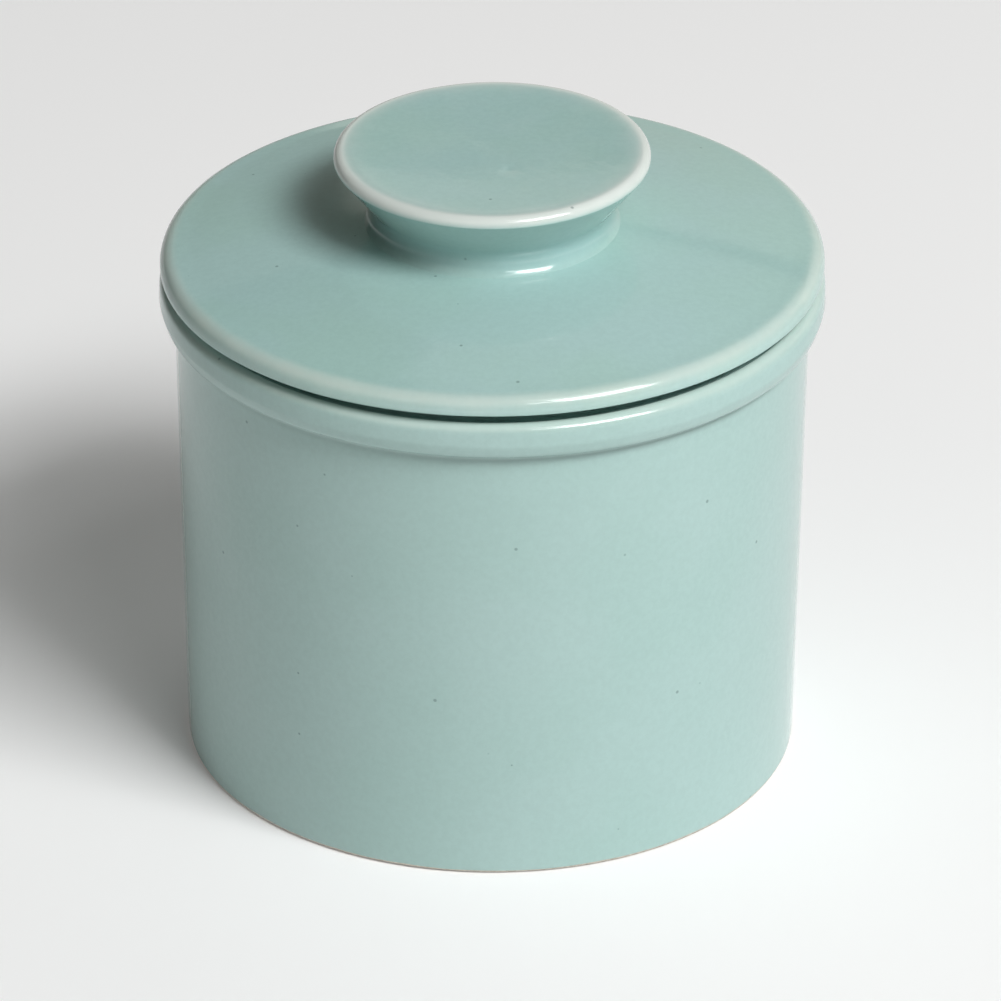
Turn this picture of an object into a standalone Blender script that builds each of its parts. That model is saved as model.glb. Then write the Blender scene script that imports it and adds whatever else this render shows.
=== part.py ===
"""Butter crock: a stoneware pot, and a lid that carries a knob above and a butter bell below.

The pot holds a little water. The bell under the lid holds the butter and hangs mouth down
in that water, which keeps the air out. The lid is made of three clay pieces luted together.

Frame: metres, +Z up, origin at the centre of the circle that the pot stands on.
The lid's pieces hang on an empty on the rim's plane, and the lid lifts along +Z.
"""

import math

import bmesh
import bpy
from mathutils import Vector

MM = 0.001

# Driving dimensions
LID_RADIUS = 52.0 * MM
POT_HEIGHT = 81.7 * MM          # foot to the flat top of the rim
POT_WALL = 5.3 * MM
POT_FLOOR = 5.0 * MM
LID_CROWN = 8.0 * MM            # top of the lid plate above the rim
KNOB_HEIGHT = 12.8 * MM         # knob's crest above the lid's crown
BELL_DEPTH = 58.0 * MM
CLEARANCE = 0.3 * MM            # between pieces that rest on or are luted to each other

# Fineness of the turned shapes
SEGMENTS = 56
CORNER_STEP = math.radians(25)
MERGE_DISTANCE = 0.00001
SHARP_EDGE = math.radians(40)

# Pot
FOOT_RADIUS = 0.9345 * LID_RADIUS
SHOULDER_RADIUS = 0.9575 * LID_RADIUS
COLLAR_RADIUS = LID_RADIUS + 0.3 * MM
COLLAR_HEIGHT = 6.6 * MM
MOUTH_RADIUS = SHOULDER_RADIUS - POT_WALL
FLOOR_RADIUS = FOOT_RADIUS - POT_WALL
FOOT_RING_WIDTH = 5.0 * MM
FOOT_RECESS = 1.5 * MM

# Lid plate, heights above the rim
LID_EDGE_HEIGHT = 4.25 * MM     # where the sloping top would meet the edge
LID_EDGE_LIFT = 0.9 * MM        # the outer edge stands this far off the rim
SEAT_RADIUS = 49.0 * MM
STEP_RADIUS = MOUTH_RADIUS - 1.0 * MM
STEP_DEPTH = 1.3 * MM           # locating step inside the pot's mouth
CEILING_HEIGHT = 0.5 * MM       # roof of the butter cup

# Knob
LIP_RADIUS = 24.7 * MM
LIP_HEIGHT = 1.7 * MM
KNOB_FOOT_RADIUS = 23.0 * MM
CONE_ROOT_RADIUS = 17.8 * MM    # where the flared underside would meet the lid
CREST_WIDTH = 2.7 * MM
DISH_DEPTH = 0.8 * MM
KNOB_FILLET = 3.0 * MM

# Butter bell
BELL_MOUTH_RADIUS = 35.2 * MM
BELL_WAIST_RADIUS = 34.0 * MM
BELL_ROOT_RADIUS = 37.0 * MM
BELL_BORE_TOP = 29.0 * MM
BELL_BORE_MOUTH = 30.6 * MM
BELL_LIP_HEIGHT = 6.0 * MM


def rounded(corners):
    """Turn (radius, height, fillet) corners into outline points, each fillet as an arc."""
    points = [Vector((radius, height)) for radius, height, _ in corners]
    outline = []
    for i, (_, _, fillet) in enumerate(corners):
        if fillet == 0:
            outline.append(points[i])
            continue
        before = (points[i - 1] - points[i]).normalized()
        after = (points[(i + 1) % len(points)] - points[i]).normalized()
        half_angle = before.angle(after) / 2
        reach = fillet / math.tan(half_angle)
        centre = points[i] + (before + after).normalized() * fillet / math.sin(half_angle)
        start = points[i] + before * reach - centre
        end = points[i] + after * reach - centre
        steps = math.ceil((math.pi - 2 * half_angle) / CORNER_STEP)
        outline += [centre + fillet * start.slerp(end, step / steps) for step in range(steps + 1)]
    return outline


def turned(name, outline, material, closed=False):
    """Spin an outline about Z into a solid. A closed outline makes a ring."""
    bm = bmesh.new()
    verts = [bm.verts.new((point.x, 0, point.y)) for point in outline]
    edges = [bm.edges.new(pair) for pair in zip(verts, verts[1:])]
    if closed:
        edges.append(bm.edges.new((verts[-1], verts[0])))
    bmesh.ops.spin(bm, geom=verts + edges, cent=(0, 0, 0), axis=(0, 0, 1),
                   angle=2 * math.pi, steps=SEGMENTS, use_merge=True)
    bmesh.ops.remove_doubles(bm, verts=bm.verts, dist=MERGE_DISTANCE)
    bmesh.ops.recalc_face_normals(bm, faces=bm.faces)
    mesh = bpy.data.meshes.new(name)
    bm.to_mesh(mesh)
    bm.free()
    mesh.shade_smooth()
    mesh.set_sharp_from_angle(angle=SHARP_EDGE)
    mesh.materials.append(material)
    piece = bpy.data.objects.new(name, mesh)
    bpy.context.scene.collection.objects.link(piece)
    return piece


def glaze(name, colour, roughness):
    """Glossy celadon glaze over stoneware."""
    material = bpy.data.materials.new(name)
    material.use_nodes = True
    shader = material.node_tree.nodes["Principled BSDF"]
    shader.inputs["Base Color"].default_value = (*colour, 1)
    shader.inputs["Roughness"].default_value = roughness
    shader.inputs["Metallic"].default_value = 0
    return material


def make_crock_pot():
    """Pot with a foot ring, a slightly tapered wall, a collar at the rim and a rounded floor."""
    foot_inner = FOOT_RADIUS - FOOT_RING_WIDTH
    collar_base = POT_HEIGHT - COLLAR_HEIGHT
    outline = rounded([
        (0, FOOT_RECESS, 0),
        (foot_inner - FOOT_RECESS, FOOT_RECESS, 1.0 * MM),
        (foot_inner, 0, 0.4 * MM),
        (FOOT_RADIUS, 0, 0.8 * MM),
        (SHOULDER_RADIUS, collar_base - 0.6 * MM, 1.8 * MM),
        (COLLAR_RADIUS - 0.6 * MM, collar_base, 1.3 * MM),
        (COLLAR_RADIUS, collar_base + 0.55 * COLLAR_HEIGHT, 4.0 * MM),
        (COLLAR_RADIUS - 0.2 * MM, POT_HEIGHT, 1.0 * MM),
        (MOUTH_RADIUS, POT_HEIGHT, 1.2 * MM),
        (FLOOR_RADIUS, FOOT_RECESS + POT_FLOOR, 7.0 * MM),
        (0, FOOT_RECESS + POT_FLOOR, 0),
    ])
    return turned("crock_pot", outline, glaze("crock_glaze", (0.40, 0.55, 0.52), 0.16))


def make_lid_plate():
    """Disc that rests on the rim, with a locating step below and a gently sloping top."""
    outline = rounded([
        (0, CEILING_HEIGHT, 0),
        (BELL_BORE_TOP - 1.0 * MM, CEILING_HEIGHT, 1.2 * MM),
        (BELL_BORE_TOP, -STEP_DEPTH, 0.5 * MM),
        (STEP_RADIUS, -STEP_DEPTH, 0.5 * MM),
        (STEP_RADIUS + 0.1 * MM, CLEARANCE, 0.4 * MM),
        (SEAT_RADIUS, CLEARANCE, 1.5 * MM),
        (LID_RADIUS, LID_EDGE_LIFT, 1.0 * MM),
        (LID_RADIUS, LID_EDGE_HEIGHT, 2.2 * MM),
        (KNOB_FOOT_RADIUS + 0.5 * MM, LID_CROWN, 4.0 * MM),
        (0, LID_CROWN, 0),
    ])
    return turned("lid_plate", outline, glaze("lid_plate_glaze", (0.36, 0.51, 0.48), 0.12))


def make_lid_knob():
    """Waisted knob that flares to a lip around a shallow dish, luted on the lid's crown."""
    base = LID_CROWN + CLEARANCE
    crest = LID_CROWN + KNOB_HEIGHT
    outline = rounded([
        (0, base, 0),
        (KNOB_FOOT_RADIUS, base, 0),
        (KNOB_FOOT_RADIUS, base + 0.3 * MM, 0),
        (CONE_ROOT_RADIUS, base + 0.4 * MM, KNOB_FILLET),
        (LIP_RADIUS, crest - LIP_HEIGHT, 0.5 * MM),
        (LIP_RADIUS, crest, 1.4 * MM),
        (LIP_RADIUS - CREST_WIDTH, crest, 0.5 * MM),
        (LIP_RADIUS - 1.6 * CREST_WIDTH, crest - 0.6 * DISH_DEPTH, 3.0 * MM),
        (0, crest - DISH_DEPTH, 0),
    ])
    return turned("lid_knob", outline, glaze("lid_knob_glaze", (0.38, 0.53, 0.50), 0.12))


def make_butter_bell():
    """Open cup that hangs mouth down from the lid plate, with a slightly flared lip."""
    root = -STEP_DEPTH - CLEARANCE
    mouth = root - BELL_DEPTH
    outline = rounded([
        (BELL_BORE_TOP, root, 0),
        (BELL_ROOT_RADIUS, root, 0),
        (BELL_ROOT_RADIUS, root - 0.5 * MM, 0),
        (BELL_WAIST_RADIUS, root - 0.7 * MM, 2.5 * MM),
        (BELL_WAIST_RADIUS, mouth + BELL_LIP_HEIGHT, 12.0 * MM),
        (BELL_MOUTH_RADIUS, mouth, 2.0 * MM),
        (BELL_BORE_MOUTH, mouth, 1.5 * MM),
    ])
    return turned("butter_bell", outline, glaze("butter_bell_glaze", (0.42, 0.57, 0.54), 0.14),
                  closed=True)


def main():
    for old in list(bpy.data.objects):
        bpy.data.objects.remove(old, do_unlink=True)
    make_crock_pot()
    lid = bpy.data.objects.new("lid_lift_axis", None)
    lid.location = (0, 0, POT_HEIGHT)
    bpy.context.scene.collection.objects.link(lid)
    for make_piece in (make_lid_plate, make_lid_knob, make_butter_bell):
        make_piece().parent = lid


main()
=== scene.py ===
"""Butter crock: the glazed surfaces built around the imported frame.

Every CAD node is replaced by one finely turned piece of nearly the same shape. The pieces carry
what a fired and glazed pot has: a faint unevenness, glaze that thins to a pale line over an edge
and pools in hollows, a bare foot, and small iron specks.
"""

import math

import bpy
import numpy as np
from mathutils import Matrix, Vector, noise


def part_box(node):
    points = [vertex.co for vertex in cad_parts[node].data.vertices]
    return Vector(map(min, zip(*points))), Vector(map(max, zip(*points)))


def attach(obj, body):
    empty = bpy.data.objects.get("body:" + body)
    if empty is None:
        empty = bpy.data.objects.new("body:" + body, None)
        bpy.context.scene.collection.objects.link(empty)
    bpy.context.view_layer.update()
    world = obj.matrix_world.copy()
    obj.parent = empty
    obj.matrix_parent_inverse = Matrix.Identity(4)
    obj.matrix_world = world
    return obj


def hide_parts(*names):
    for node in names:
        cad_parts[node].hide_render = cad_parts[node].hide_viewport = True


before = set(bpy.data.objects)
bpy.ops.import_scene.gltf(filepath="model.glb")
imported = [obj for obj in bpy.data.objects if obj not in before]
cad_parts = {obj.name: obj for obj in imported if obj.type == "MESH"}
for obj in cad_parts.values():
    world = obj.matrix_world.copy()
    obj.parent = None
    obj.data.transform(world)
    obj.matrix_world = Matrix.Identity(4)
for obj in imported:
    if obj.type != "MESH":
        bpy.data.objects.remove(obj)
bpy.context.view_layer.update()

MM = 0.001

# Sizes read from the frame
POT_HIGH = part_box("crock_pot")[1]
PLATE_LOW, PLATE_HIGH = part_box("lid_plate")
KNOB_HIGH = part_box("lid_knob")[1]
BELL_LOW, BELL_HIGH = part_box("butter_bell")
RIM_HEIGHT = POT_HIGH.z
COLLAR_RADIUS = POT_HIGH.x
LID_RADIUS = PLATE_HIGH.x
LID_CROWN = PLATE_HIGH.z
LIP_RADIUS = KNOB_HIGH.x
KNOB_CREST = KNOB_HIGH.z

# Pot
FOOT_RADIUS = 0.9345 * LID_RADIUS
SHOULDER_RADIUS = 0.9575 * LID_RADIUS
POT_WALL = 5.3 * MM
POT_FLOOR = 5.0 * MM
MOUTH_RADIUS = SHOULDER_RADIUS - POT_WALL
COLLAR_HEIGHT = 6.1 * MM
BEAD_DROP = 0.35 * MM           # the rim's rounded outer bead is this much lower than the lid's seat
BEAD_INNER_RADIUS = COLLAR_RADIUS - 2.0 * MM
GROOVE_DEPTH = 1.1 * MM         # of the groove between the bead and the seat
GROOVE_INNER_RADIUS = 47.0 * MM
FOOT_RING_WIDTH = 5.0 * MM
FOOT_RECESS = 1.5 * MM
GLAZE_LINE = 0.7 * MM           # the glaze stops this far above the table

# Lid plate, heights above the rim
SEAT_GAP = 0.55 * MM            # uneven glaze doesn't close it
LID_EDGE_LIFT = 1.2 * MM
LID_EDGE_HEIGHT = 3.9 * MM      # where the side and the top would meet
CROWN_RADIUS = 23.5 * MM        # where the domed top is as high as the CAD's crown
LID_FALL = 0.095                # slope of the top there
LID_DOMING = 2.02               # and how fast it steepens further out, per metre
LID_ROLL_RADIUS = 47.5 * MM     # where the top starts to roll over to the edge
LID_POINTS = 16
SEAT_RADIUS = 46.5 * MM
STEP_RADIUS = MOUTH_RADIUS - 1.0 * MM
CEILING_RISE = 1.8 * MM         # roof of the butter cup above the step's underside

# Knob
KNOB_FOOT_RADIUS = 20.0 * MM    # where the knob's foot runs out on the lid
FOOT_SLOPE = math.radians(35)
FOOT_SINK = 1.0 * MM            # how deep the foot's clay is sunk into the lid's
NECK_RADIUS = 17.4 * MM         # where the flare would meet the foot
NECK_HEIGHT = 1.8 * MM
NECK_FILLET = 3.0 * MM
LIP_HEIGHT = 1.6 * MM
DISH_RADIUS = 22.0 * MM
DISH_DEPTH = 0.35 * MM
DISH_CURL = 2.85                # power by which the dish steepens towards its edge
DISH_START = DISH_RADIUS - 1.5 * MM     # the rounded inside of the lip ends here
DISH_POINTS = 26
MARK_PLACE = Vector((2.7 * MM, -6.8 * MM, KNOB_CREST - DISH_DEPTH))
MARK_DEPTH = 0.14 * MM
MARK_SPREAD = 1.2 * MM

# Butter bell
BELL_MOUTH_RADIUS = 35.2 * MM
BELL_WAIST_RADIUS = 34.0 * MM
BELL_BORE_TOP = 29.0 * MM
BELL_BORE_MOUTH = 30.6 * MM
BELL_LIP_HEIGHT = 6.0 * MM

# Fineness of the turned surfaces
SEGMENTS = 256
CORNER_STEP = math.radians(6)
POINT_SPACING = 1.0 * MM

# Signs of hand work
LID_LEAN = math.radians(0.39)   # the lid sits slightly high on its right
LID_RAISE = 0.1 * MM            # and so does not dip into the rim on its left
GLAZE_WAVE = 0.035 * MM         # height of the glaze's slow waves
GLAZE_WAVE_LENGTH = 17 * MM
OUT_OF_ROUND = 0.10 * MM
BREAK_BLURS = ((0.6, 0.5 * MM), (0.75, 2.1 * MM))      # share and spread of thin glaze at an edge
SIDE_BREAK = 0.30               # how much glaze an edge loses on an upright face, 1 is all of it
POT_SEED = 2.1
LID_SEED = 7.3

# Colours: the glaze's two tones, where it pools, and where it thins over an edge
POT_GREEN = (0.37, 0.535, 0.505, 1)
POT_BLUE = (0.385, 0.545, 0.52, 1)
POT_POOL = (0.23, 0.33, 0.31, 1)
POT_PALE = (0.60, 0.68, 0.62, 1)
LID_GREEN = (0.36, 0.545, 0.505, 1)
LID_BLUE = (0.37, 0.55, 0.53, 1)
LID_POOL = (0.33, 0.55, 0.55, 1)
LID_PALE = (0.62, 0.68, 0.62, 1)
KNOB_PALE = (0.645, 0.70, 0.665, 1)
IRON_SPECK = (0.10, 0.16, 0.15, 1)
DARK_CLAY = (0.46, 0.42, 0.36, 1)
LIGHT_CLAY = (0.66, 0.62, 0.55, 1)


def rounded(corners):
    """Turn (radius, height, fillet) corners into outline points, each fillet as an arc."""
    points = [Vector((radius, height)) for radius, height, _ in corners]
    outline = []
    for i, (_, _, fillet) in enumerate(corners):
        if fillet == 0:
            outline.append(points[i])
            continue
        before = (points[i - 1] - points[i]).normalized()
        after = (points[(i + 1) % len(points)] - points[i]).normalized()
        half_angle = before.angle(after) / 2
        reach = fillet / math.tan(half_angle)
        centre = points[i] + (before + after).normalized() * fillet / math.sin(half_angle)
        start = points[i] + before * reach - centre
        end = points[i] + after * reach - centre
        steps = math.ceil((math.pi - 2 * half_angle) / CORNER_STEP)
        outline += [centre + fillet * start.slerp(end, step / steps) for step in range(steps + 1)]
    return outline


def filled_in(outline, closed):
    """Add points along the straight stretches, so that slow waves have vertices to bend."""
    dense = []
    ends = outline[1:] + outline[:1] if closed else outline[1:]
    for start, end in zip(outline, ends):
        steps = max(1, math.ceil((end - start).length / POINT_SPACING))
        dense += [start.lerp(end, step / steps) for step in range(steps)]
    return dense if closed else dense + outline[-1:]


def outline_normals(outline, closed):
    """Unit normals that point out of the clay, for an outline with the clay on its left."""
    points = np.array([point[:] for point in outline])
    ahead, behind = np.roll(points, -1, axis=0), np.roll(points, 1, axis=0)
    if not closed:
        ahead[-1], behind[0] = points[-1], points[0]
    along = ahead - behind
    along /= np.linalg.norm(along, axis=1)[:, None]
    return np.column_stack((along[:, 1], -along[:, 0]))


def edge_sharpness(outline, closed):
    """Curvature in 1/mm at each outline point, blurred: positive over edges, negative in hollows."""
    points = np.array([point[:] for point in outline])
    steps = np.diff(points, axis=0, append=points[:1])
    if not closed:
        steps[-1] = steps[-2]
    turn = np.roll(steps, 1, axis=0)
    if not closed:
        turn[0] = steps[0]
    angle = np.arctan2(turn[:, 0] * steps[:, 1] - turn[:, 1] * steps[:, 0], (turn * steps).sum(1))
    lengths = np.linalg.norm(steps, axis=1)
    place = np.concatenate(([0], np.cumsum(lengths)[:-1]))
    apart = np.abs(place[:, None] - place[None, :])
    if closed:
        apart = np.minimum(apart, lengths.sum() - apart)
    weight = sum(share * np.exp(-0.5 * (apart / blur) ** 2) / (blur * math.sqrt(2 * math.pi))
                 for share, blur in BREAK_BLURS)
    return weight @ angle * MM


def glaze_height(place, seed):
    """How far the fired surface stands off the true shape at a place."""
    waves = noise.noise(place / GLAZE_WAVE_LENGTH + Vector((seed, 0, 0)))
    turn = math.atan2(place.y, place.x)
    out_of_round = math.sin(2 * turn + seed) + 0.5 * math.sin(3 * turn - seed)
    from_axis = min(1, math.hypot(place.x, place.y) / SEAT_RADIUS)
    return GLAZE_WAVE * waves + OUT_OF_ROUND * out_of_round * from_axis


def dent(piece, place, depth, spread):
    """Press a soft round mark into a piece's upper side."""
    for vert in piece.data.vertices:
        away = (vert.co - place).length / spread
        vert.co.z -= depth * math.exp(-away ** 2)


def turned(name, outline, material, seed, closed=False):
    """Spin an outline about Z into a fired, slightly uneven piece."""
    outline = filled_in(outline, closed)
    normals = outline_normals(outline, closed)
    sharpness = edge_sharpness(outline, closed)
    drained = np.clip(normals[:, 1] + SIDE_BREAK, 0, 1)
    sharpness = np.where(sharpness > 0, sharpness * drained, sharpness)
    verts, rings, sharp = [], [], []
    for point, normal, edge in zip(outline, normals, sharpness):
        on_axis = point.x < 0.001 * MM
        ring = []
        for segment in range(1 if on_axis else SEGMENTS):
            angle = 2 * math.pi * segment / SEGMENTS
            across = Vector((math.cos(angle), math.sin(angle), 0))
            place = across * point.x + Vector((0, 0, point.y))
            out = across * normal[0] + Vector((0, 0, normal[1]))
            ring.append(len(verts))
            fired = place + out.normalized() * glaze_height(place, seed)
            fired.z = max(fired.z, 0)           # the foot is ground flat
            verts.append(fired)
            sharp.append(edge)
        rings.append(ring * SEGMENTS if on_axis else ring)
    faces = []
    for low, high in zip(rings, rings[1:] + (rings[:1] if closed else [])):
        for i in range(SEGMENTS):
            j = (i + 1) % SEGMENTS
            faces.append(list(dict.fromkeys((low[i], low[j], high[j], high[i]))))
    mesh = bpy.data.meshes.new(name)
    mesh.from_pydata(verts, [], faces)
    mesh.shade_smooth()
    mesh.attributes.new("edge_sharpness", "FLOAT", "POINT").data.foreach_set("value", sharp)
    mesh.materials.append(material)
    piece = bpy.data.objects.new(name, mesh)
    bpy.context.scene.collection.objects.link(piece)
    return piece


def add_node(tree, kind, inputs, **settings):
    """Add a shader node, set its options, and set or link its inputs by name or number."""
    node = tree.nodes.new(kind)
    for option, value in settings.items():
        setattr(node, option, value)
    for socket, value in inputs.items():
        if isinstance(value, bpy.types.NodeSocket):
            tree.links.new(value, node.inputs[socket])
        else:
            node.inputs[socket].default_value = value
    return node


def math_node(tree, operation, first, second, third=0.0):
    """The result of a Math node."""
    inputs = {0: first, 1: second, 2: third}
    return add_node(tree, "ShaderNodeMath", inputs, operation=operation).outputs[0]


def step_node(tree, value, low, high, to_low=0.0, to_high=1.0):
    """A value carried smoothly from the range low..high to the range to_low..to_high."""
    inputs = {"Value": value, "From Min": low, "From Max": high, "To Min": to_low, "To Max": to_high}
    return add_node(tree, "ShaderNodeMapRange", inputs, interpolation_type="SMOOTHSTEP").outputs[0]


def mix_node(tree, factor, first, second, blend="MIX"):
    """The colour between two colours. A Mix node's colours are its sockets 6 and 7."""
    inputs = {0: factor, 6: first, 7: second}
    return add_node(tree, "ShaderNodeMix", inputs, data_type="RGBA", blend_type=blend).outputs[2]


def noise_node(tree, place, scale, detail, roughness=0.5):
    """Noise between 0 and 1 at a scale in cycles per metre."""
    inputs = {"Vector": place, "Scale": scale, "Detail": detail, "Roughness": roughness}
    return add_node(tree, "ShaderNodeTexNoise", inputs).outputs[0]


def celadon(name, green, blue, pool, pale, break_from, break_to, bare_foot=False):
    """Glossy celadon glaze: cloudy tone, fine mottle, specks, pale breaks and deeper pools.

    The pale colour comes in as the edge sharpness, in 1/mm, goes from break_from to break_to.
    """
    material = bpy.data.materials.new(name)
    material.use_nodes = True
    tree = material.node_tree
    shader = tree.nodes["Principled BSDF"]
    place = tree.nodes.new("ShaderNodeTexCoord").outputs["Object"]

    clouds = noise_node(tree, place, 38, 3)
    colour = mix_node(tree, step_node(tree, clouds, 0.35, 0.65), green, blue)
    mottle = noise_node(tree, place, 900, 4, 0.7)
    shade = step_node(tree, mottle, 0.3, 0.7, 0.975, 1.025)
    grey = add_node(tree, "ShaderNodeCombineColor", {0: shade, 1: shade, 2: shade}).outputs[0]
    colour = mix_node(tree, 1.0, colour, grey, "MULTIPLY")

    edge = add_node(tree, "ShaderNodeAttribute", {}, attribute_name="edge_sharpness").outputs["Fac"]
    ragged = math_node(tree, "MULTIPLY_ADD", noise_node(tree, place, 260, 3), 0.16, -0.08)
    edge = math_node(tree, "ADD", edge, ragged)
    colour = mix_node(tree, step_node(tree, edge, -0.08, -0.45, 0.0, 0.45), colour, pool)
    thin = step_node(tree, edge, break_from, break_to)
    colour = mix_node(tree, thin, colour, pale)

    cells = add_node(tree, "ShaderNodeTexVoronoi", {"Vector": place, "Scale": 240.0})
    chance = add_node(tree, "ShaderNodeSeparateColor", {0: cells.outputs["Color"]}).outputs[0]
    radius = step_node(tree, chance, 0.5, 1.0, 0.001, 0.075)
    from_speck = math_node(tree, "DIVIDE", cells.outputs["Distance"], radius)
    speck = step_node(tree, from_speck, 1.25, 0.55)
    colour = mix_node(tree, math_node(tree, "MULTIPLY", speck, 0.55), colour, IRON_SPECK)

    peel = noise_node(tree, place, 420, 2)
    relief = math_node(tree, "MULTIPLY_ADD", speck, -0.6, peel)
    gloss = step_node(tree, noise_node(tree, place, 120, 3), 0.3, 0.7, 0.07, 0.11)
    if bare_foot:
        height = add_node(tree, "ShaderNodeSeparateXYZ", {0: place}).outputs["Z"]
        wander = math_node(tree, "MULTIPLY_ADD", noise_node(tree, place, 90, 2), 0.5 * MM, -0.25 * MM)
        height = math_node(tree, "ADD", height, wander)
        bare = step_node(tree, height, GLAZE_LINE, GLAZE_LINE - 0.15 * MM)
        grain = noise_node(tree, place, 1600, 5, 0.7)
        clay = mix_node(tree, step_node(tree, grain, 0.3, 0.7), DARK_CLAY, LIGHT_CLAY)
        colour = mix_node(tree, bare, colour, clay)
        gloss = math_node(tree, "MULTIPLY_ADD", bare, 0.72, gloss)
        relief = math_node(tree, "ADD", relief, math_node(tree, "MULTIPLY", grain, bare))
    bump = add_node(tree, "ShaderNodeBump", {"Height": relief, "Strength": 0.12, "Distance": 0.1 * MM})
    tree.links.new(colour, shader.inputs["Base Color"])
    tree.links.new(gloss, shader.inputs["Roughness"])
    tree.links.new(bump.outputs[0], shader.inputs["Normal"])
    shader.inputs["IOR"].default_value = 1.5
    return material


def pot_outline():
    """The pot, from the middle of its underside round the wall and rim to the middle of its floor."""
    foot_inner = FOOT_RADIUS - FOOT_RING_WIDTH
    collar_base = RIM_HEIGHT - COLLAR_HEIGHT
    bead_top = RIM_HEIGHT - BEAD_DROP
    return rounded([
        (0, FOOT_RECESS, 0),
        (foot_inner - FOOT_RECESS, FOOT_RECESS, 1.0 * MM),
        (foot_inner, 0, 0.4 * MM),
        (FOOT_RADIUS, 0, 0.8 * MM),
        (SHOULDER_RADIUS, collar_base - 0.6 * MM, 1.3 * MM),
        (COLLAR_RADIUS - 0.6 * MM, collar_base, 1.7 * MM),
        (COLLAR_RADIUS, collar_base + 0.35 * COLLAR_HEIGHT, 2.5 * MM),
        (COLLAR_RADIUS - 0.2 * MM, bead_top, 1.6 * MM),
        (BEAD_INNER_RADIUS, bead_top, 0.5 * MM),
        (BEAD_INNER_RADIUS - GROOVE_DEPTH, bead_top - GROOVE_DEPTH, 0.5 * MM),
        (GROOVE_INNER_RADIUS + 0.6 * MM, bead_top - GROOVE_DEPTH, 0.5 * MM),
        (GROOVE_INNER_RADIUS, RIM_HEIGHT, 0.3 * MM),
        (MOUTH_RADIUS, RIM_HEIGHT, 1.2 * MM),
        (FOOT_RADIUS - POT_WALL, FOOT_RECESS + POT_FLOOR, 7.0 * MM),
        (0, FOOT_RECESS + POT_FLOOR, 0),
    ])


def lid_height(radius):
    """Height of the lid's domed top at a radius, carried on to the knob's foot."""
    out = radius - CROWN_RADIUS
    return LID_CROWN - out * (LID_FALL + LID_DOMING * out)


def plate_outline():
    """The lid's plate, from the roof of the butter cup round its edge to the crown."""
    step_height = PLATE_LOW.z
    top = [LID_ROLL_RADIUS + (NECK_RADIUS - LID_ROLL_RADIUS) * i / LID_POINTS
           for i in range(1, LID_POINTS + 1)]
    return rounded([
        (0, step_height + CEILING_RISE, 0),
        (BELL_BORE_TOP - 1.0 * MM, step_height + CEILING_RISE, 1.2 * MM),
        (BELL_BORE_TOP, step_height, 0.5 * MM),
        (STEP_RADIUS, step_height, 0.5 * MM),
        (STEP_RADIUS + 0.1 * MM, RIM_HEIGHT + SEAT_GAP, 0.4 * MM),
        (SEAT_RADIUS, RIM_HEIGHT + SEAT_GAP, 1.5 * MM),
        (LID_RADIUS, RIM_HEIGHT + LID_EDGE_LIFT, 0.35 * MM),
        (LID_RADIUS, RIM_HEIGHT + LID_EDGE_HEIGHT, 2.5 * MM),
        (LID_ROLL_RADIUS, lid_height(LID_ROLL_RADIUS), 10.0 * MM),
        *[(radius, lid_height(radius), 0) for radius in top],
        (0, lid_height(NECK_RADIUS), 0),
    ])


def dish_point(radius):
    """Radius and height on the dish, which steepens towards its edge."""
    return radius, KNOB_CREST - DISH_DEPTH * (1 - (radius / DISH_RADIUS) ** DISH_CURL)


def knob_outline():
    """The knob, from the middle of its base up the flare and over the lip to the dish's middle."""
    dish = [(*dish_point(DISH_START * (1 - i / DISH_POINTS)), 0) for i in range(DISH_POINTS)]
    base = lid_height(KNOB_FOOT_RADIUS)
    return rounded([
        (0, base - FOOT_SINK, 0),
        (KNOB_FOOT_RADIUS + FOOT_SINK / math.tan(FOOT_SLOPE), base - FOOT_SINK, 0),
        (NECK_RADIUS, base + NECK_HEIGHT, NECK_FILLET),
        (LIP_RADIUS, KNOB_CREST - LIP_HEIGHT, 0.4 * MM),
        (LIP_RADIUS, KNOB_CREST, 1.4 * MM),
        (DISH_RADIUS, KNOB_CREST, 10.0 * MM),
        *dish,
        (0, KNOB_CREST - DISH_DEPTH, 0),
    ])


def bell_outline():
    """The butter bell, an open ring section from its luted top down the outside and up the bore."""
    root, mouth = BELL_HIGH.z, BELL_LOW.z
    return rounded([
        (BELL_BORE_TOP, root, 0),
        (BELL_BORE_MOUTH, mouth, 1.5 * MM),
        (BELL_MOUTH_RADIUS, mouth, 2.0 * MM),
        (BELL_WAIST_RADIUS, mouth + BELL_LIP_HEIGHT, 12.0 * MM),
        (BELL_WAIST_RADIUS, root - 0.7 * MM, 2.5 * MM),
        (BELL_HIGH.x, root - 0.5 * MM, 0),
        (BELL_HIGH.x, root, 0),
    ])


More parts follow.
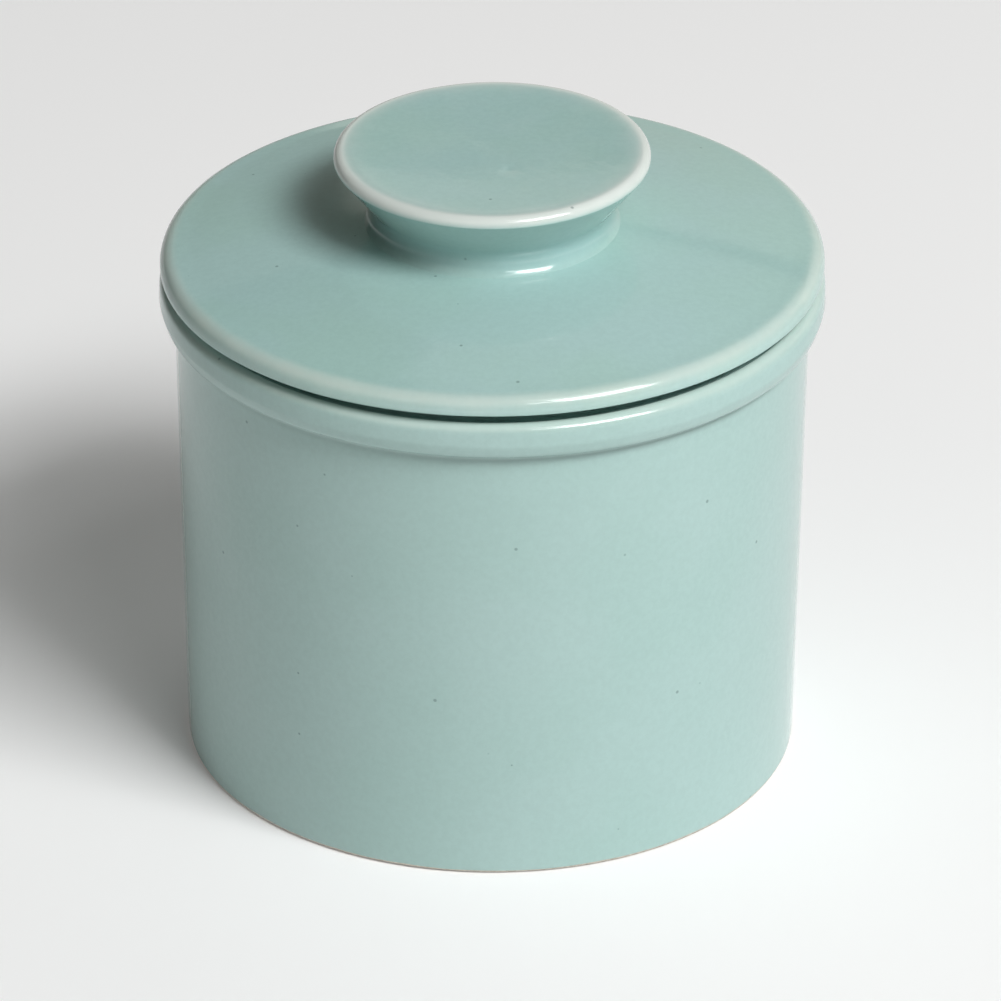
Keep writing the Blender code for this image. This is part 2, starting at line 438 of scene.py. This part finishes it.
def make_pieces():
    """Build the pot and the lid's pieces, and set each on its body."""
    pot_glaze = celadon("pot_celadon", POT_GREEN, POT_BLUE, POT_POOL, POT_PALE, 0.12, 1.20,
                        bare_foot=True)
    lid_glaze = celadon("lid_celadon", LID_GREEN, LID_BLUE, LID_POOL, LID_PALE, 0.12, 0.90)
    knob_glaze = celadon("knob_celadon", LID_GREEN, LID_BLUE, LID_POOL, KNOB_PALE, -0.06, 0.66)
    pieces = [
        ("pot_glazed", pot_outline(), pot_glaze, "crock_pot", "crock", "crock_glaze", False),
        ("plate_glazed", plate_outline(), lid_glaze, "lid_plate", "lid", "lid_glaze", False),
        ("knob_glazed", knob_outline(), knob_glaze, "lid_knob", "lid", "lid_glaze", False),
        ("bell_glazed", bell_outline(), lid_glaze, "butter_bell", "lid", "lid_glaze", True),
    ]
    seat = Matrix.Translation((0, 0, RIM_HEIGHT))
    raised = Matrix.Translation((0, 0, RIM_HEIGHT + LID_RAISE))
    lean = raised @ Matrix.Rotation(-LID_LEAN, 4, "Y") @ seat.inverted()
    for name, outline, glaze, node, body, slot, closed in pieces:
        piece = turned(name, outline, glaze, LID_SEED if body == "lid" else POT_SEED, closed)
        if node == "lid_knob":
            dent(piece, MARK_PLACE, MARK_DEPTH, MARK_SPREAD)
        if body == "lid":
            piece.data.transform(lean)
        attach(piece, body)
        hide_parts(node)


# Studio, in metres and degrees; azimuth 0 is the camera's side, 90 is the right
CAMERA_DISTANCE = 1.30
CAMERA_ELEVATION = 28.9
CAMERA_ROLL = 0.28
CAMERA_AIM = Vector((1.4 * MM, 0, 40.0 * MM))
FOCAL_RATIO = 8.154             # focal length over sensor width
SENSOR_WIDTH = 36.0
PANEL_DISTANCE = 2.6
KEY_AZIMUTH = 44.5
WARM = (1.0, 0.985, 0.88)


def around(azimuth, elevation, distance):
    """A point round the object."""
    turn, rise = math.radians(azimuth), math.radians(elevation)
    level = distance * math.cos(rise)
    return Vector((level * math.sin(turn), -level * math.cos(turn), distance * math.sin(rise)))


def make_camera():
    """A long lens at the height and angle from which the crock is usually shown."""
    data = bpy.data.cameras.new("camera")
    data.sensor_width = SENSOR_WIDTH
    data.lens = FOCAL_RATIO * SENSOR_WIDTH
    data.clip_end = 20
    camera = bpy.data.objects.new("camera", data)
    tilt = Matrix.Rotation(math.radians(90 - CAMERA_ELEVATION), 4, "X")
    roll = Matrix.Rotation(math.radians(CAMERA_ROLL), 4, "Z")
    place = CAMERA_AIM + around(0, CAMERA_ELEVATION, CAMERA_DISTANCE)
    camera.matrix_world = Matrix.Translation(place) @ tilt @ roll
    bpy.context.scene.collection.objects.link(camera)
    bpy.context.scene.camera = camera


def make_panel(name, azimuth, elevation, distance, width, height, radiance, colour=(1, 1, 1)):
    """A rectangular soft light that faces the object."""
    data = bpy.data.lights.new(name, "AREA")
    data.shape = "RECTANGLE"
    data.size = width
    data.size_y = height
    data.energy = radiance * math.pi * width * height
    data.color = colour
    panel = bpy.data.objects.new(name, data)
    place = around(azimuth, elevation, distance)
    panel.matrix_world = Matrix.Translation(place) @ place.to_track_quat("Z", "Y").to_matrix().to_4x4()
    bpy.context.scene.collection.objects.link(panel)


def make_floor():
    """A pale floor that glows a little, so that shadows on it stay soft."""
    side = 6.0
    corners = [(-side, -side, 0), (side, -side, 0), (side, side, 0), (-side, side, 0)]
    mesh = bpy.data.meshes.new("floor")
    mesh.from_pydata(corners, [], [(0, 1, 2, 3)])
    floor = bpy.data.objects.new("floor", mesh)
    material = bpy.data.materials.new("floor_white")
    material.use_nodes = True
    shader = material.node_tree.nodes["Principled BSDF"]
    shader.inputs["Base Color"].default_value = (0.85, 0.85, 0.85, 1)
    shader.inputs["Roughness"].default_value = 0.9
    shader.inputs["Specular IOR Level"].default_value = 0.0
    shader.inputs["Emission Color"].default_value = (1, 1, 1, 1)
    shader.inputs["Emission Strength"].default_value = 0.10
    mesh.materials.append(material)
    bpy.context.scene.collection.objects.link(floor)


def make_world():
    """Dim, slightly warm surroundings."""
    world = bpy.data.worlds.new("studio")
    world.use_nodes = True
    background = world.node_tree.nodes["Background"]
    background.inputs["Color"].default_value = (*WARM, 1)
    background.inputs["Strength"].default_value = 0.02
    bpy.context.scene.world = world


def make_studio():
    """Camera, floor, a window-like key light, and the paler panels that the glaze reflects."""
    make_camera()
    make_floor()
    make_world()
    # azimuth, elevation, distance, width, height, radiance
    make_panel("key", KEY_AZIMUTH, 49, 2.4, 1.05, 0.65, 15.0)
    make_panel("key_surround", KEY_AZIMUTH, 51, 2.5, 1.3, 1.5, 3.1)
    make_panel("low_key", 38, 44, PANEL_DISTANCE, 1.7, 0.4, 6.6)
    make_panel("left_wall", -35, 38, PANEL_DISTANCE, 2.0, 0.9, 0.5, WARM)
    make_panel("backdrop", 155, 14.8, PANEL_DISTANCE, 2.9, 1.42, 0.52, WARM)
    make_panel("backdrop_left", 200, 17, PANEL_DISTANCE, 1.45, 1.6, 0.22, WARM)
    make_panel("ceiling", 148, 46, PANEL_DISTANCE, 2.4, 1.2, 0.42)
    bpy.context.scene.view_settings.view_transform = "Standard"


make_pieces()
make_studio()
